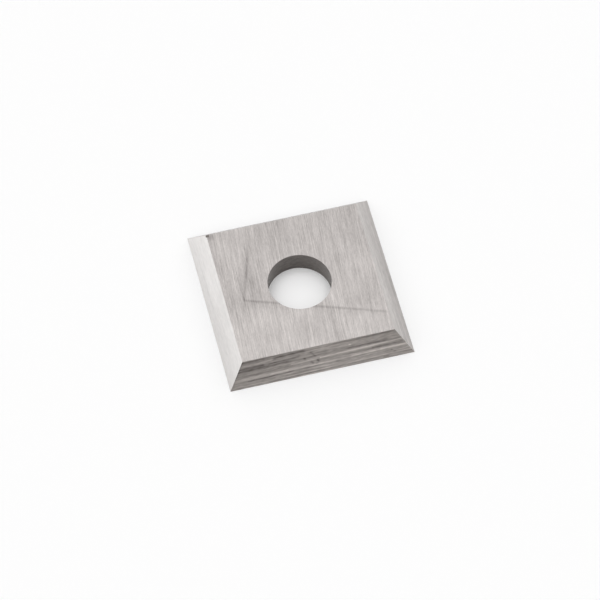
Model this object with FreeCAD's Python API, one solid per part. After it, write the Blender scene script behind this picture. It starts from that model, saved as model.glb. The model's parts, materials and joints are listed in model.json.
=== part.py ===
import FreeCAD, Part
import math
import os

# Square indexable knife insert of cemented carbide, ground on every face.
# It lies on its large face, whose sides are the cutting edges.
# Lengths are in millimetres. +Z is up, X and Y run along the cutting edges, and the
# origin is where the axis of the bore meets the large face.

# Driving dimensions
edge_length = 12.0  # each cutting edge, from corner to corner of the large face
thickness = 1.5  # from the large face to the small face
relief_angle = 35.0  # lean of each flank from upright, in degrees
bore_diameter = 4.1  # plain hole for the clamping screw, with sharp rims

# Values that follow from the driving dimensions
half_edge = edge_length / 2
lean = math.tan(math.radians(relief_angle))  # how far a flank moves in for each millimetre up
overrun = thickness  # how far each cutting tool runs past the plate
edge_count = 4
UP = FreeCAD.Vector(0, 0, 1)
CENTRE = FreeCAD.Vector(0, 0, 0)


def sintered_blank():
    """The square plate before its flanks are ground, larger all round by the grinding stock."""
    side = edge_length + 2 * overrun
    corner = FreeCAD.Vector(-side / 2, -side / 2, 0)
    return Part.makeBox(side, side, thickness, corner)


def front_stock():
    """What the wheel takes off the front flank: a long triangular bar with its slope on the flank's plane."""
    start = -half_edge - 2 * overrun
    bottom = -overrun
    top = thickness + overrun
    low_edge = FreeCAD.Vector(start, -half_edge + bottom * lean, bottom)
    high_edge = FreeCAD.Vector(start, -half_edge + top * lean, top)
    outer_low = FreeCAD.Vector(start, -half_edge - 2 * overrun + bottom * lean, bottom)
    outer_high = FreeCAD.Vector(start, -half_edge - 2 * overrun + bottom * lean, top)
    section = Part.makePolygon([low_edge, high_edge, outer_high, outer_low, low_edge])
    return Part.Face(section).extrude(FreeCAD.Vector(-2 * start, 0, 0))


def grind_flanks(blank):
    """The blank with the same flank ground on each side, a quarter turn apart, so that they meet in mitres."""
    plate = blank
    for turn in range(edge_count):
        stock = front_stock()
        stock.rotate(CENTRE, UP, turn * 360 / edge_count)
        plate = plate.cut(stock)
    return plate


def screw_bore():
    """The round core of the bore, run out past both faces."""
    foot = FreeCAD.Vector(0, 0, -overrun)
    return Part.makeCylinder(bore_diameter / 2, thickness + 2 * overrun, foot, UP)


def knife_insert():
    """The finished insert: a flat plate with mitred flanks and a plain bore through its middle."""
    plate = grind_flanks(sintered_blank())
    return plate.cut(screw_bore()).removeSplitter()


os.makedirs("parts", exist_ok=True)
insert = knife_insert()
insert.exportStep("parts/insert.step")
print("insert", "valid", insert.isValid(), "solids", len(insert.Solids), "volume", round(insert.Volume, 4))
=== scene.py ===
import json
import math

import bpy
import numpy as np
from mathutils import Matrix, Vector


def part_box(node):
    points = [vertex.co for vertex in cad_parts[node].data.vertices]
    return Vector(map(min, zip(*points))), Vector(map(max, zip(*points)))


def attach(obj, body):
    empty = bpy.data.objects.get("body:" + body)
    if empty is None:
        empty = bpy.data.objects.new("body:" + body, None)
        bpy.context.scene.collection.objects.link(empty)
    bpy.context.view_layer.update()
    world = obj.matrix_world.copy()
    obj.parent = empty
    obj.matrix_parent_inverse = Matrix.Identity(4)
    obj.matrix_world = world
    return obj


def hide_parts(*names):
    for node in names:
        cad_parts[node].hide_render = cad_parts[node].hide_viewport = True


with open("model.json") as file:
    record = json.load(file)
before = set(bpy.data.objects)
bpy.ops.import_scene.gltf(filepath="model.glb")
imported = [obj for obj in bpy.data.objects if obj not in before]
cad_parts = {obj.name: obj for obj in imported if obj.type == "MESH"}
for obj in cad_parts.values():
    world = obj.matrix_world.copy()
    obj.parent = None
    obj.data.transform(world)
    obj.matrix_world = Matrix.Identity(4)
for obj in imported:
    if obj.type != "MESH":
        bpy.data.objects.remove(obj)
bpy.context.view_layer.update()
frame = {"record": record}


# The camera: a long lens high over the front, as the photograph was taken. Its angles are measured
# from the insert's own axes, and the picture is taken to be 600 by 600.
MM = 0.001
picture_pixels = 600
focal_pixels = 3815.3
sensor_width = 36.0
camera_elevation = math.radians(57.09)
insert_turn = math.radians(13.33)  # how far the insert is turned on the floor, seen from above
camera_roll = math.radians(-0.84)
camera_distance = 244.26 * MM
origin_right_of_sight = -0.011 * MM
origin_below_sight = -0.344 * MM


def camera_place():
    """The camera's matrix: its right, up and backward directions on the insert's axes, and where it
    stands. The directions are tipped by the elevation, rolled about the line of sight and turned
    back with the insert."""
    right = Vector((1, 0, 0))
    down = Vector((0, -math.sin(camera_elevation), -math.cos(camera_elevation)))
    ahead = Vector((0, math.cos(camera_elevation), -math.sin(camera_elevation)))
    rolled_right = math.cos(camera_roll) * right - math.sin(camera_roll) * down
    rolled_down = math.sin(camera_roll) * right + math.cos(camera_roll) * down
    turn_back = Matrix.Rotation(-insert_turn, 3, "Z")
    right, down, ahead = [turn_back @ axis for axis in (rolled_right, rolled_down, ahead)]
    place = Matrix((right, -down, -ahead)).transposed().to_4x4()
    place.translation = -(
        right * origin_right_of_sight + down * origin_below_sight + ahead * camera_distance
    )
    return place


camera = bpy.data.objects.new("camera", bpy.data.cameras.new("camera"))
camera.data.sensor_width = sensor_width
camera.data.lens = focal_pixels / picture_pixels * sensor_width
camera.data.clip_start = 10 * MM
camera.data.clip_end = 20
camera.matrix_world = camera_place()
bpy.context.scene.collection.objects.link(camera)
bpy.context.scene.camera = camera


# The insert: one square plate of cemented tungsten carbide, pressed and sintered, then ground on
# both faces and on its four flanks, which meet the large face in the cutting edges. The bore keeps
# its sintered skin. The plate lies loose on its large face.
insert_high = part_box("insert")[1]
half_edge = insert_high.x
thickness = insert_high.z
relief_angle = math.radians(35.0)  # lean of the flanks from upright
lean = math.tan(relief_angle)
slope_length = thickness / math.cos(relief_angle)
small_half_edge = half_edge - thickness * lean  # of the small face
bore_mount = next(mount for mount in frame["record"]["mounts"] if mount["name"] == "bore")
bore_radius = bore_mount["dims"]["r_mm"] * MM

# The mesh is a closed grid. A column runs round through the section of the plate, and a row runs
# round the bore. The columns stand closer together near the corners, so that the broken one keeps
# its shape.
sides = 4  # front, right, back and left, each seen from outside with its columns from left to right
corner_share = 0.96  # where the closer columns begin, as a share of half the edge
corner_columns = 8
middle_columns = 144

# The columns of a side cross it at these shares of half its length, from its left end to its right.
side_shares = np.concatenate([
    np.linspace(-1, -corner_share, corner_columns, endpoint=False),
    np.linspace(-corner_share, corner_share, middle_columns, endpoint=False),
    np.linspace(corner_share, 1, corner_columns + 1),
])
columns_per_side = side_shares.size - 1
BORE, SMALL_FACE, FLANK, LARGE_FACE = range(4)
rows_on = {BORE: 8, SMALL_FACE: 20, FLANK: 100, LARGE_FACE: 6}
column_count = sides * columns_per_side
row_count = sum(rows_on.values())


def steps(surface):
    """Even shares of the way along one surface of the section, from 0 to just short of 1."""
    return np.arange(rows_on[surface]) / rows_on[surface]


def section_rows():
    """The section through the plate as one closed line, row by row: up the bore, out over the small
    face, down the flank to the cutting edge, and back in under the large face. It gives, for each
    row, the share of the way from the bore's circle to the square, the square's half side, the
    height, and the surface that the row opens."""
    outward = np.sin(steps(SMALL_FACE) * math.pi / 2)  # rows draw together towards the rim
    share = np.concatenate([0 * steps(BORE), outward, 1 + 0 * steps(FLANK), 1 - steps(LARGE_FACE)])
    half = np.concatenate([
        np.full(rows_on[BORE] + rows_on[SMALL_FACE], small_half_edge),
        small_half_edge + steps(FLANK) * thickness * lean,
        np.full(rows_on[LARGE_FACE], half_edge),
    ])
    height = np.concatenate([
        thickness * steps(BORE),
        np.full(rows_on[SMALL_FACE], thickness),
        thickness * (1 - steps(FLANK)),
        np.zeros(rows_on[LARGE_FACE]),
    ])
    surface = np.repeat(list(rows_on), list(rows_on.values()))
    return share, half, height, surface


def unit_square():
    """For each column, the point on a square of half side 1 that the column runs to."""
    along = side_shares[:-1]
    one = np.ones_like(along)
    x = np.concatenate([along, one, -along, -one])
    y = np.concatenate([-one, along, one, -along])
    return np.stack([x, y], axis=-1)


def plate_grid(share, half, height):
    """The grid's points. In plan each lies on the straight line from the bore's circle to the
    square, in its column's own direction from the axis, at its row's share of the way. Its height
    is its row's."""
    square = unit_square()
    circle = bore_radius * square / np.linalg.norm(square, axis=-1, keepdims=True)
    share, half = share[:, None, None], half[:, None, None]
    across = (1 - share) * circle + share * half * square
    up = np.broadcast_to(height[:, None, None], across.shape[:2] + (1,))
    return np.concatenate([across, up], axis=-1)


share, half, height, surface = section_rows()
points = plate_grid(share, half, height)
flank_rows = np.flatnonzero(surface == FLANK)

# Each flank was ground along its edge in a few passes, which left shallow grooves with flat slopes.
# They climb a little to the right.
groove_drift = math.tan(math.radians(0.85))
groove_layers = (  # the ridges' spacing, their depth in metres, and how long a groove lasts
    (0.05 * MM, 2.4e-6, 0.8 * MM),
    (0.08 * MM, 2.4e-6, 1.6 * MM),
    (0.15 * MM, 1.8e-6, 3.0 * MM),
)
groove_fade = 0.05 * MM  # how far from an edge the grooves reach their full depth
groove_seed = 60
lines_per_layer = 2


def broken_line(rng, place, spacing):
    """A random height from -1 to 1 at about every spacing, joined by straight slopes, read at each
    place."""
    knots = np.arange(-half_edge - spacing, half_edge + 2 * spacing, spacing)
    knots = knots + rng.uniform(-0.3, 0.3, knots.size) * spacing
    return np.interp(place, knots, rng.uniform(-1, 1, knots.size))


def ridge_height(side, down, along):
    """How high the grinding left each point of a flank. Each layer is a broken line across the
    slope whose strength changes slowly along the edge."""
    rng = np.random.default_rng(groove_seed + side)
    across = down + along * groove_drift
    ridges = np.zeros_like(across)
    for spacing, depth, length in groove_layers:
        for _ in range(lines_per_layer):
            strength = np.clip(0.5 + 0.9 * broken_line(rng, along, length), 0, 1)
            ridges += depth / lines_per_layer * strength * broken_line(rng, across, spacing)
    return ridges


def flank_lay():
    """Two grids over the flanks' rows: how far down the slope each point lies, and how far along
    its edge."""
    down = (thickness - height[flank_rows])[:, None] / math.cos(relief_angle)
    down = down * np.ones(column_count)
    share_along = np.tile(side_shares[:-1], sides)
    return down, share_along * half[flank_rows][:, None]


groove_strength = (1.5, 0.8, 1.0, 0.3)  # on the front, right, back and left flank


def grind_flanks():
    """Sinks each flank, square to itself, so that its highest ridge touches its plane. The sinking
    starts at nought on every edge."""
    down, along = flank_lay()
    to_mitre = half[flank_rows][:, None] - np.abs(along)
    to_border = np.minimum(np.minimum(down, slope_length - down), to_mitre)
    fade = np.clip(to_border / groove_fade, 0, 1)
    for side in range(sides):
        mine = np.arange(side * columns_per_side, (side + 1) * columns_per_side)
        turn = side * math.pi / 2
        outward = np.array([
            math.sin(turn) * math.cos(relief_angle),
            -math.cos(turn) * math.cos(relief_angle),
            math.sin(relief_angle),
        ])
        ridges = ridge_height(side, down[:, mine], along[:, mine])
        depth = groove_strength[side] * (ridges.max() - ridges)
        points[np.ix_(flank_rows, mine)] -= (fade[:, mine] * depth)[..., None] * outward


grind_flanks()

# A speck has broken out of the corner where the small face meets the back and left flanks, as a
# shallow dent.
chip_place = np.array([0.05 * MM - small_half_edge, small_half_edge - 0.06 * MM, thickness])
chip_inward = np.array([1, -1, -1]) / math.sqrt(3)
chip_radius = 0.13 * MM
chip_depth = 0.05 * MM
chip_patch_offset = 0.25 * MM  # from the speck to the middle of a darker patch on the small face
from_chip = np.linalg.norm(points - chip_place, axis=-1)
points += (chip_depth * np.clip(1 - (from_chip / chip_radius) ** 2, 0, 1))[..., None] * chip_inward

# Single marks of the wheel and of use, each from one place to another: millimetres along the edge
# from its middle, millimetres down the slope, half its width, and how much lighter or darker it is
# than the rest. The light and dark of the wheel's bands, the bright ridges and the scores' bright
# sides are painted reflection of the grooves' slopes.
front_marks = (
    (-6.0, 0.12, 6.0, 0.06, 0.070, -0.75),  # bands of the wheel's passes, as painted reflection
    (-6.0, 0.46, 6.0, 0.34, 0.090, 0.55),
    (-6.0, 0.60, 6.0, 0.48, 0.090, -0.20),
    (-6.0, 1.04, 6.0, 0.96, 0.050, -0.30),
    (-6.0, 1.27, 6.0, 1.14, 0.075, 0.75),
    (-6.0, 1.42, 6.0, 1.32, 0.050, -0.12),
    (-6.0, 1.55, 6.0, 1.44, 0.060, 0.35),
    (-6.0, 1.76, 6.0, 1.68, 0.060, -0.25),
    (-5.5, 0.75, -2.6, 0.60, 0.600, -0.50),  # the duller left end
    (-5.2, 0.14, -3.6, 0.12, 0.100, -0.50),  # dark patches at the upper left
    (-2.9, 0.22, -1.0, 0.16, 0.110, -0.90),
    (-4.2, 0.34, -3.1, 0.31, 0.060, 0.50),
    (-5.4, 0.54, -3.7, 0.52, 0.090, -0.80),
    (-3.3, 0.51, -1.4, 0.48, 0.060, -0.60),
    (-5.8, 0.98, -3.6, 0.95, 0.150, -0.15),
    (-1.2, 0.40, -0.8, 0.38, 0.060, 0.45),
    (-4.8, 1.42, -3.1, 1.38, 0.040, -0.95),  # scores at the lower left, with painted highlights on their sides
    (-3.2, 1.21, -2.2, 1.19, 0.050, 0.60),
    (-3.0, 1.55, -2.4, 1.53, 0.040, 0.50),
    (-1.9, 0.88, 0.0, 0.84, 0.045, 0.90),  # painted highlights on ridges that climb to the right
    (0.0, 0.83, 3.0, 0.76, 0.038, 1.90),
    (3.0, 0.76, 5.9, 0.69, 0.033, 1.60),
    (-0.8, 1.25, 1.6, 1.20, 0.030, 0.30),
    (2.0, 1.16, 3.5, 1.14, 0.045, 0.95),
    (3.2, 1.13, 4.0, 1.12, 0.035, 1.00),
    (3.9, 1.12, 5.6, 1.08, 0.040, 1.20),
    (0.9, 0.56, 1.5, 0.55, 0.050, -0.35),  # dark scores at the right
    (3.2, 0.55, 4.3, 0.52, 0.120, -0.35),
    (3.4, 0.92, 5.3, 0.88, 0.070, -0.85),
    (1.0, 1.31, 1.2, 1.31, 0.050, -0.40),
    (2.3, 1.38, 4.6, 1.34, 0.030, -0.35),
    (4.55, 1.33, 4.60, 1.34, 0.050, -0.80),  # pits
    (4.70, 1.47, 4.80, 1.47, 0.050, -0.80),
    (-1.02, 0.69, -1.00, 0.70, 0.065, -1.40),
    (-0.60, 1.02, -0.52, 1.08, 0.070, -1.20),
    (-0.20, 0.96, -0.14, 1.03, 0.065, -1.60),
    (-0.30, 1.15, -0.22, 1.15, 0.050, -0.80),
    (4.0, 1.69, 4.3, 1.70, 0.040, -0.90),
    (-0.58, 0.34, -0.32, 0.66, 0.055, -0.80),  # a knock across the lines
    (-5.93, 1.75, -4.98, 0.05, 0.070, -0.60),  # the dull mitre at the left
    (1.93, 0.38, 2.00, 0.39, 0.040, 1.60),
)
mark_seed = 80
mark_count = 14  # on each of the other flanks
mark_strength = (1.0, 0.8, 1.0, 0.5)  # on the front, right, back and left flank


def random_marks(side):
    """Marks of the same kinds at random places: mostly long and nearly level, some light and some
    dark."""
    rng = np.random.default_rng(mark_seed + side)
    start = rng.uniform(-6, 4, mark_count)
    length = rng.uniform(0.1, 1, mark_count) ** 2 * 8
    down = rng.uniform(0.1, 1.7, mark_count)
    width = rng.uniform(0.03, 0.30, mark_count)
    tone = rng.uniform(0.1, 0.25, mark_count) * rng.choice([-1, 1], mark_count)
    end, end_down = start + length, down - length * groove_drift
    return np.stack([start, down, end, end_down, width, tone * mark_strength[side]], axis=-1)


def mark_tone(marks, down, along):
    """The sum of the marks at each point. A mark fades from its line as a bell curve of its
    width."""
    tone = np.zeros_like(down)
    for start, start_down, end, end_down, width, strength in marks:
        run = np.array([end - start, end_down - start_down]) * MM
        ahead, aside = along - start * MM, down - start_down * MM
        reach = np.clip((ahead * run[0] + aside * run[1]) / (run @ run), 0, 1)
        apart = np.hypot(ahead - reach * run[0], aside - reach * run[1])
        tone += strength * np.exp(-(apart / (width * MM)) ** 2)
    return tone


# How the front, right, back and left flank differ, as painted reflection: the left flank is lighter
# where it mirrors the strip light, the back one darker where it mirrors the shadowed floor. A tone
# of -2 is the darkest metal and 2 the lightest.
painted_flank_tone = (0.24, 0.02, -0.4, 1.06)
painted_end_shade = (0.0, 0.0, 0.0, 0.30)  # painted reflection, from the left end of the edge to the right: the left flank lighter at the back
painted_edge_shade = (-0.15, 0.50, 0.30, 0.50)  # painted reflection of the floor's shadow, from the rim to the cutting edge
painted_ridge_tone = (0.34, 0.10, 0.20, 0.02)  # painted highlight on the ridges and painted shade in the grooves
flank_coarseness = (1.5, 1.0, 0.9, 0.6)  # how strong the finest lines are


def corner_places():
    """The side that each corner of each face belongs to, and where it lies on a flank: how far down
    the slope and how far along the edge. The last column of a side runs to the mitre, which is the
    first column of the next."""
    row, column = np.meshgrid(np.arange(row_count), np.arange(column_count), indexing="ij")
    rows = np.stack([row, row + 1, row + 1, row], axis=-1) % row_count
    columns = np.stack([column, column, column + 1, column + 1], axis=-1)
    side = np.repeat(column[..., None] // columns_per_side, 4, axis=-1)
    down = (thickness - height[rows]) / math.cos(relief_angle)
    along = side_shares[columns - side * columns_per_side] * half[rows]
    return rows, columns, side, down, along


def marks_and_painted_light_map():
    """The tone at each corner of each face, nought off the flanks: each flank's painted reflection
    tone, its painted shade towards the cutting edge and along the edge, the painted light and shade
    of its ridges, and its marks."""
    side, down, along = corner_places()[2:]
    marks_and_painted_light = np.zeros(side.shape)
    on_flank = surface[:, None, None] == FLANK
    for number in range(sides):
        mine = on_flank & (side == number)
        place = down[mine], along[mine]
        marks = front_marks if number == 0 else random_marks(number)
        ridges = ridge_height(number, *place)
        marks_and_painted_light[mine] = (
            painted_flank_tone[number]
            + painted_edge_shade[number] * (0.5 - place[0] / slope_length)
            - painted_end_shade[number] * place[1] / (2 * half_edge)
            + painted_ridge_tone[number] * (ridges - ridges.mean()) / ridges.std()
            + mark_tone(marks, *place)
        )
    return marks_and_painted_light


def grid_faces():
    """Four-cornered faces between neighbouring rows and columns, closed round both ways and facing
    outwards."""
    row, column = np.meshgrid(np.arange(row_count), np.arange(column_count), indexing="ij")
    next_row = (row + 1) % row_count
    next_column = (column + 1) % column_count
    corners = np.stack([
        row * column_count + column,
        next_row * column_count + column,
        next_row * column_count + next_column,
        row * column_count + next_column,
    ], axis=-1)
    return corners.reshape(-1, 4)


# Both faces were ground by one pass of a large wheel, whose lines run nearly along Y and draw
# together a little towards the front.
lines_meet_x = -43.0 * MM
lines_meet_y = -600.0 * MM
lay_offset = 40.0 * MM  # keeps the flanks, and the two faces, apart on the map and so unlike


def lay_map():
    """The map of the lay, in millimetres: first across the grinding lines, then along them, for
    each corner of each face. On the two faces a line is named by where it crosses the X axis. On a
    flank it is named by its distance down the slope, less its climb. In the bore the map runs round
    and up the wall."""
    rows, columns, side, down, along = corner_places()
    x, y = np.moveaxis(points[rows, columns % column_count, :2], -1, 0)
    crossing = (x * lines_meet_y - y * lines_meet_x) / (lines_meet_y - y)
    lower = surface[:, None, None] == LARGE_FACE
    face = np.stack([crossing, y - lower * lay_offset], axis=-1)
    flank = np.stack([down + along * groove_drift, along + side * lay_offset], axis=-1)
    wall = np.stack([columns * 2 * math.pi / column_count * bore_radius, height[rows]], axis=-1)
    on = surface[:, None, None, None]
    lay = np.where(on == FLANK, flank, np.where(on == BORE, wall, face))
    return lay.reshape(-1, 2) / MM


GROUND_FACE, GROUND_FLANK, AS_SINTERED = range(3)  # the materials, as they are added below
mesh = bpy.data.meshes.new("insert_body")
faces = grid_faces()
mesh.from_pydata(points.reshape(-1, 3).tolist(), [], faces.tolist())
mesh.uv_layers.new(name="lay").data.foreach_set("uv", lay_map().ravel())
# The flanks' marks, together with their painted reflection and shade.
mesh.attributes.new("marks_and_painted_light", "FLOAT", "CORNER").data.foreach_set("value", marks_and_painted_light_map().ravel())
coarseness = np.tile(np.repeat(flank_coarseness, columns_per_side), row_count)
mesh.attributes.new("coarseness", "FLOAT", "FACE").data.foreach_set("value", coarseness)
row_material = np.select(
    [surface == FLANK, surface == BORE], [GROUND_FLANK, AS_SINTERED], GROUND_FACE
)
material_number = np.repeat(row_material, column_count)
in_chip = from_chip.ravel()[faces].mean(axis=-1) < chip_radius
material_number[in_chip] = AS_SINTERED  # the break is as dull as the bore
mesh.polygons.foreach_set("material_index", material_number)
mesh.polygons.foreach_set("use_smooth", np.ones(row_count * column_count, dtype=bool))
mesh.set_sharp_from_angle(angle=math.radians(25))  # the edges, the mitres and the bore's rims
insert = bpy.data.objects.new("insert_body", mesh)
bpy.context.scene.collection.objects.link(insert)
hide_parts("insert")
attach(insert, "root")


def paint(code):
    """An sRGB colour written as six hex digits, as linear red, green and blue with a full alpha."""
    channels = [int(code[i:i + 2], 16) / 255 for i in (1, 3, 5)]
    linear = [c / 12.92 if c <= 0.04045 else ((c + 0.055) / 1.055) ** 2.4 for c in channels]
    return linear + [1.0]


MIX_SHARE, MIX_DARK, MIX_LIGHT = 0, 6, 7  # the Mix node's inputs when it mixes colours
MIX_RESULT = 2  # and its output


def add(tree, kind, inputs=None, **settings):
    """Adds a node of a kind to a tree with its settings. Each named or numbered input gets a value,
    or a link from an output or from a node's first output."""
    node = tree.nodes.new("ShaderNode" + kind)
    for name, value in settings.items():
        setattr(node, name, value)
    for socket, value in (inputs or {}).items():
        if isinstance(value, bpy.types.Node):
            value = value.outputs[0]
        if isinstance(value, bpy.types.NodeSocket):
            tree.links.new(value, node.inputs[socket])
        else:
            node.inputs[socket].default_value = value
    return node


def new_material(name):
    """An empty material and its node tree."""
    material = bpy.data.materials.new(name)
    material.use_nodes = True
    material.node_tree.nodes.clear()
    return material, material.node_tree


seed_step = (7.31, 3.17)  # from one pattern's place in the noise to the next
line_step = 23.7  # from one single line's place in the noise to the next
noise_low, noise_high = 0.3, 0.7  # nearly all of the noise lies between these


def drawn_noise(tree, lay, width, length, seed, detail=0.0, roughness=0.5, single=False):
    """Noise drawn out along the lay: about one line in each width, and each line about as long as
    length, in mm. Each step of detail adds noise of half the width and length, as strong as
    roughness says. Single lines are straight and of one width, each with its own noise along it:
    the way across is cut down to the number of the line, and a large step from one number to the
    next takes each to another place in the noise."""
    place = add(tree, "Mapping", {
        "Vector": lay,
        "Location": (seed * seed_step[0], seed * seed_step[1], 0),
        "Scale": (1 / width, 1 / length, 1),
    })
    if single:
        ways = add(tree, "SeparateXYZ", {"Vector": place})
        number = add(tree, "Math", {0: ways.outputs["X"]}, operation="FLOOR")
        place = add(tree, "CombineXYZ", {
            "X": add(tree, "Math", {0: number, 1: line_step}, operation="MULTIPLY"),
            "Y": ways.outputs["Y"],
        })
    return add(tree, "TexNoise", {
        "Vector": place,
        "Scale": 1.0,
        "Detail": detail,
        "Roughness": roughness,
    }, noise_dimensions="2D")


# Another insert of the same size lay on the small face for a while, askew, and left the faint
# outline of one corner.
witness_corner = (-3.76 * MM, -0.50 * MM)
witness_ends = (  # where each side ends, and the share of the way at which it begins to fade
    ((-2.45 * MM, 3.80 * MM), 0.6),
    ((4.95 * MM, -3.59 * MM), 0.96),
)
witness_width = 0.14 * MM
witness_dark = 0.9  # how much darker the middle of the line is
witness_patch = 1.2 * MM  # about how long its stronger stretches are
haze_width = 0.55 * MM  # how far the dulling reaches on the outer side of the outline
haze_dark = 0.4


def witness_line(tree, place, end, clear):
    """A dark line from the witness corner to an end, with a weak haze on its outer side, that fades
    out after the clear share of its length. The distance from the line and the share of the way
    along it are both dot products of the place with fixed directions."""
    corner = np.array(witness_corner)
    run = np.array(end) - corner
    length = np.hypot(*run)
    ahead = run / length
    outer = np.array([ahead[1], -ahead[0]]) * (1 if ahead[0] > abs(ahead[1]) else -1)
    way = add(tree, "VectorMath", {0: place, 1: (*(ahead / length), 0)}, operation="DOT_PRODUCT")
    way = add(tree, "Math", {
        0: way.outputs["Value"],
        1: float(ahead @ corner / length),
    }, operation="SUBTRACT")
    off = add(tree, "VectorMath", {0: place, 1: (*outer, 0)}, operation="DOT_PRODUCT")
    off = add(tree, "Math", {
        0: off.outputs["Value"],
        1: float(outer @ corner),
    }, operation="SUBTRACT")
    core = add(tree, "MapRange", {
        "Value": add(tree, "Math", {0: off}, operation="ABSOLUTE"),
        "From Max": witness_width,
        "To Min": -witness_dark,
        "To Max": 0.0,
    })
    outside = add(tree, "MapRange", {"Value": off, "From Min": -witness_width, "From Max": 0.0})
    haze = add(tree, "MapRange", {
        "Value": off, "From Max": haze_width, "To Min": -haze_dark, "To Max": 0.0,
    })
    dark = add(tree, "Math", {0: outside, 1: haze, 2: core}, operation="MULTIPLY_ADD")
    begun = add(tree, "MapRange", {"Value": way, "From Min": -0.01, "From Max": 0.01})
    ended = add(tree, "MapRange", {"Value": way, "From Min": clear, "To Min": 1.0, "To Max": 0.0})
    within = add(tree, "Math", {0: begun, 1: ended}, operation="MULTIPLY")
    patches = add(tree, "TexNoise", {"Vector": place, "Scale": 1 / witness_patch, "Detail": 1.0})
    patchy = add(tree, "MapRange", {
        "Value": patches, "From Min": 0.35, "From Max": 0.6, "To Min": 0.65,
    })
    within = add(tree, "Math", {0: within, 1: patchy}, operation="MULTIPLY")
    return add(tree, "Math", {0: dark, 1: within}, operation="MULTIPLY")


# Cemented tungsten carbide, surface ground: a grey metal sheen, broken by fine straight lines, that
# is drawn out across the lines. Real lines are about a hundredth of a millimetre apart, and they
# are drawn about four times as coarse, so that they show. Their light and dark in the colour, and
# the bands', are painted reflection of the scratches' slopes.
painted_reflection_lean = 0.25  # painted reflection: how much lighter the face is at its front edge, and darker at its back one
chip_patch_reach = 1.6 * chip_patch_offset
chip_patch_dark = 1.5
material, tree = new_material("tungsten_carbide_surface_ground")
lay = add(tree, "UVMap", uv_map="lay")
place = add(tree, "TexCoord").outputs["Object"]
lines = drawn_noise(
    tree, lay, width=0.046, length=4.5, seed=1, detail=5.0, roughness=0.9, single=True
)
bands = drawn_noise(tree, lay, width=0.24, length=4.0, seed=2, detail=1.0)
cloud = drawn_noise(tree, lay, width=2.4, length=3.0, seed=3, detail=1.0)
ways = add(tree, "SeparateXYZ", {"Vector": place})
# Painted reflection: the tone starts lighter at the front edge and darker at the back one.
tone = add(tree, "MapRange", {
    "Value": ways.outputs["Y"],
    "From Min": -half_edge,
    "From Max": half_edge,
    "To Min": painted_reflection_lean,
    "To Max": -painted_reflection_lean,
})
# The lines' and bands' light and dark are painted reflection of the scratches' slopes.
for pattern, strength in (lines, 5.0), (bands, 0.8), (cloud, 1.4):
    centred = add(tree, "Math", {0: pattern, 1: 0.5}, operation="SUBTRACT")
    tone = add(tree, "Math", {0: centred, 1: strength, 2: tone}, operation="MULTIPLY_ADD")
on_small_face = add(tree, "MapRange", {"Value": ways.outputs["Z"], "From Max": thickness})
for end, clear in witness_ends:
    witness = witness_line(tree, place, end, clear)
    tone = add(tree, "Math", {0: witness, 1: on_small_face, 2: tone}, operation="MULTIPLY_ADD")
# The small face is darker round the speck.
beside_chip = add(tree, "VectorMath", {
    0: place,
    1: chip_place + chip_patch_offset * chip_inward,
}, operation="DISTANCE")
chip_patch = add(tree, "MapRange", {
    "Value": beside_chip.outputs["Value"],
    "From Max": chip_patch_reach,
    "To Min": -chip_patch_dark,
    "To Max": 0.0,
})
tone = add(tree, "Math", {0: tone, 1: chip_patch}, operation="ADD")
colour = add(tree, "Mix", {
    MIX_SHARE: add(tree, "MapRange", {"Value": tone, "From Min": -2.0, "From Max": 2.0}),
    MIX_DARK: paint("#908B89"),
    MIX_LIGHT: paint("#EBE5E2"),
}, data_type="RGBA")

# No roughness here or below goes under 0.28, because the renderer's denoiser then leaves specks.
shader = add(tree, "BsdfPrincipled", {
    "Base Color": colour.outputs[MIX_RESULT],
    "Metallic": 1.0,
    "Roughness": add(tree, "MapRange", {
        "Value": lines,
        "From Min": noise_low,
        "From Max": noise_high,
        "To Min": 0.30,
        "To Max": 0.38,
    }),
    "Anisotropic": 0.7,
    "Normal": add(tree, "Bump", {"Height": bands, "Distance": 2.0e-6}),
    "Tangent": add(tree, "Tangent", direction_type="UV_MAP", uv_map="lay"),
})
add(tree, "OutputMaterial", {"Surface": shader})
mesh.materials.append(material)

# The same carbide on the flanks, ground along the edge with a coarser wheel: the same sheen, more
# deeply lined. Its ridges and marks are in the mesh and in the map of marks and painted light, and
# the noise adds the finest lines, whose light and dark in the colour are painted reflection.
grain_share = 0.5  # how strong the grain is beside the lines
material, tree = new_material("tungsten_carbide_flank_ground")
lay = add(tree, "UVMap", uv_map="lay")
lines = drawn_noise(
    tree, lay, width=0.05, length=1.6, seed=4, detail=3.0, roughness=0.8, single=True
)
grain = drawn_noise(tree, lay, width=0.10, length=0.40, seed=5)
both = add(tree, "Math", {0: grain, 1: grain_share, 2: lines}, operation="MULTIPLY_ADD")
centred = add(tree, "Math", {0: both, 1: (1 + grain_share) / 2}, operation="SUBTRACT")
# The finest lines' light and dark are painted reflection of their slopes, as on the faces.
tone = add(tree, "Math", {
    0: centred,
    1: add(tree, "Attribute", attribute_name="coarseness").outputs["Fac"],
    2: add(tree, "Attribute", attribute_name="marks_and_painted_light").outputs["Fac"],
}, operation="MULTIPLY_ADD")
colour = add(tree, "Mix", {
    MIX_SHARE: add(tree, "MapRange", {"Value": tone, "From Min": -2.0, "From Max": 2.0}),
    MIX_DARK: paint("#4E4846"),
    MIX_LIGHT: paint("#F4EFEC"),
}, data_type="RGBA")
shader = add(tree, "BsdfPrincipled", {
    "Base Color": colour.outputs[MIX_RESULT],
    "Metallic": 1.0,
    "Roughness": add(tree, "MapRange", {
        "Value": lines,
        "From Min": noise_low,
        "From Max": noise_high,
        "To Min": 0.28,
        "To Max": 0.34,
    }),
    "Anisotropic": 0.6,
    "Normal": add(tree, "Bump", {"Height": lines, "Distance": 1.0e-6}),
    "Tangent": add(tree, "Tangent", direction_type="UV_MAP", uv_map="lay"),
})
add(tree, "OutputMaterial", {"Surface": shader})
mesh.materials.append(material)
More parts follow.
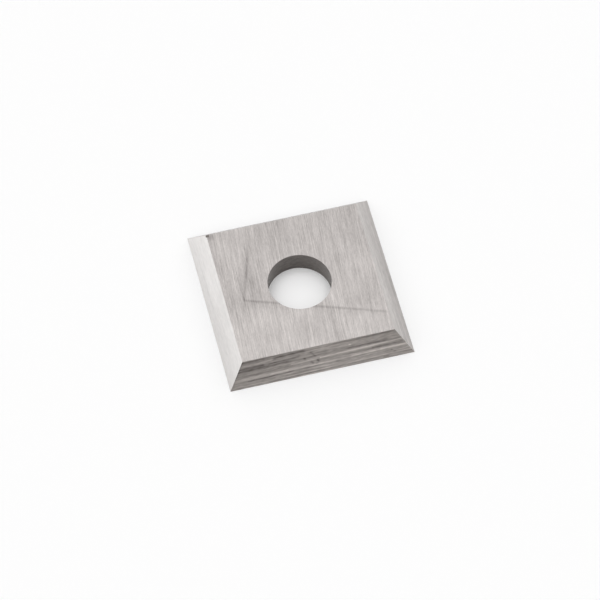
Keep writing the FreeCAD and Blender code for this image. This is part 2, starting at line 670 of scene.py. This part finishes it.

# The same carbide as it left the furnace: dark, dull and finely pitted. It is partly diffuse,
# because its skin scatters the light. Its colour carries painted shade: lighter towards the small
# face and darker towards the foot and the back.
material, tree = new_material("tungsten_carbide_as_sintered")
lay = add(tree, "UVMap", uv_map="lay")
grain = drawn_noise(tree, lay, width=0.40, length=0.14, seed=6, detail=3.0, roughness=0.7)
ways = add(tree, "SeparateXYZ", {"Vector": add(tree, "TexCoord").outputs["Object"]})
# Painted shade: darker towards the foot of the wall and towards its back.
painted_foot_shade = add(tree, "MapRange", {
    "Value": ways.outputs["Z"],
    "From Max": thickness,
    "To Min": -0.25,
    "To Max": 0.0,
})
painted_back_shade = add(tree, "MapRange", {
    "Value": ways.outputs["Y"],
    "From Min": 0.6 * bore_radius,
    "From Max": bore_radius,
    "To Min": 0.05,
    "To Max": -0.1,
})
painted_wall_shade = add(tree, "Math", {0: painted_foot_shade, 1: painted_back_shade}, operation="ADD")
colour = add(tree, "Mix", {
    MIX_SHARE: add(tree, "Math", {0: grain, 1: 1.0, 2: painted_wall_shade}, operation="MULTIPLY_ADD"),
    MIX_DARK: paint("#524C49"),
    MIX_LIGHT: paint("#908984"),
}, data_type="RGBA")
shader = add(tree, "BsdfPrincipled", {
    "Base Color": colour.outputs[MIX_RESULT],
    "Metallic": 0.4,
    "Roughness": add(tree, "MapRange", {
        "Value": grain,
        "From Min": noise_low,
        "From Max": noise_high,
        "To Min": 0.34,
        "To Max": 0.44,
    }),
    "Normal": add(tree, "Bump", {"Height": grain, "Distance": 8.0e-6}),
})
add(tree, "OutputMaterial", {"Surface": shader})
mesh.materials.append(material)


# The floor: plain white paper under the insert, a hair below it so that the two planes don't fall
# together. It keeps the soft shadow round the plate.
floor_half = 2.0  # metres
floor_gap = 0.005 * MM


def flat_sheet(name, corners, material_name, colour):
    """One flat four-sided face of a matt colour, which is no part of the insert."""
    flat = bpy.data.meshes.new(name)
    flat.from_pydata(corners, [], [(0, 1, 2, 3)])
    material, tree = new_material(material_name)
    add(tree, "OutputMaterial", {"Surface": add(tree, "BsdfDiffuse", {"Color": paint(colour)})})
    flat.materials.append(material)
    sheet = bpy.data.objects.new(name, flat)
    bpy.context.scene.collection.objects.link(sheet)
    return sheet


flat_sheet("floor", [
    (-floor_half, -floor_half, -floor_gap),
    (floor_half, -floor_half, -floor_gap),
    (floor_half, floor_half, -floor_gap),
    (-floor_half, floor_half, -floor_gap),
], "white_paper", "#FEFEFE")

# A grey card stands on the camera's side. Only the metal sees it: the front flank mirrors it.
card_distance = 0.35  # metres, as its other measures
card_half_width = 0.45
card_height = 0.40
card = flat_sheet("grey_card", [
    (card_half_width, -card_distance, 0.0),
    (-card_half_width, -card_distance, 0.0),
    (-card_half_width, -card_distance, card_height),
    (card_half_width, -card_distance, card_height),
], "grey_card", "#B9B4B0")
card.visible_camera = False
card.visible_shadow = False
card.visible_diffuse = False


# The light: a white studio all round, a broad soft key from above, a narrower one that deepens the
# foot of the shadow, and a low strip light behind the insert at the left, which only the metal
# sees: the left flank mirrors it.
def add_lamp(name, kind, direction, distance, **settings):
    """A lamp of a kind that shines at the insert from a direction and a distance, with its
    settings."""
    lamp = bpy.data.objects.new(name, bpy.data.lights.new(name, kind))
    away = Vector(direction).normalized()
    lamp.location = away * distance
    lamp.rotation_euler = away.to_track_quat("Z", "Y").to_euler()
    for setting, value in settings.items():
        setattr(lamp.data, setting, value)
    lamp.visible_camera = False
    bpy.context.scene.collection.objects.link(lamp)
    return lamp


key = add_lamp(
    "key", "SUN", direction=(-0.02, 0.22, 1.0), distance=1.0,
    energy=1.69, angle=math.radians(128),
)
top = add_lamp(
    "top", "SUN", direction=(-0.06, -0.02, 1.0), distance=1.0,
    energy=1.16, angle=math.radians(56),
)
key.visible_glossy = False
top.visible_glossy = False
strip = add_lamp(
    "strip", "AREA", direction=(-0.83, 0.53, 0.10), distance=0.50,
    energy=0.45, shape="RECTANGLE", size=0.90, size_y=0.22, color=(0.71, 0.90, 1.0),
)
strip.visible_diffuse = False

# The floor doesn't see the strip in the metal either, so no patch of its light lies on the paper.
strip.data.use_nodes = True
tree = strip.data.node_tree
emission = tree.nodes["Emission"]
off_floor = add(tree, "Math", {
    0: 1.0,
    1: add(tree, "LightPath").outputs["Diffuse Depth"],
}, operation="SUBTRACT", use_clamp=True)
tree.links.new(off_floor.outputs[0], emission.inputs["Strength"])

# The camera and the metal see the studio white. The floor gets little light from it, also by way of
# the metal, so that it keeps the shadow round the plate.
ambient = 0.1  # the floor's share of the studio's light
world = bpy.data.worlds.new("studio")
bpy.context.scene.world = world
world.use_nodes = True
tree = world.node_tree
path = add(tree, "LightPath")
mirrored = add(tree, "Math", {
    0: path.outputs["Is Glossy Ray"],
    1: path.outputs["Is Transmission Ray"],
}, operation="MAXIMUM")
at_once = add(tree, "Math", {0: mirrored, 1: path.outputs["Diffuse Depth"]}, operation="SUBTRACT")
seen = add(tree, "Math", {0: at_once, 1: path.outputs["Is Camera Ray"]}, operation="MAXIMUM")
strength = add(tree, "MapRange", {"Value": seen, "To Min": ambient, "To Max": 1.0})
background = tree.nodes["Background"]
background.inputs["Color"].default_value = paint("#FFFFFF")
tree.links.new(strength.outputs[0], background.inputs["Strength"])

bpy.context.scene.view_settings.view_transform = "Standard"
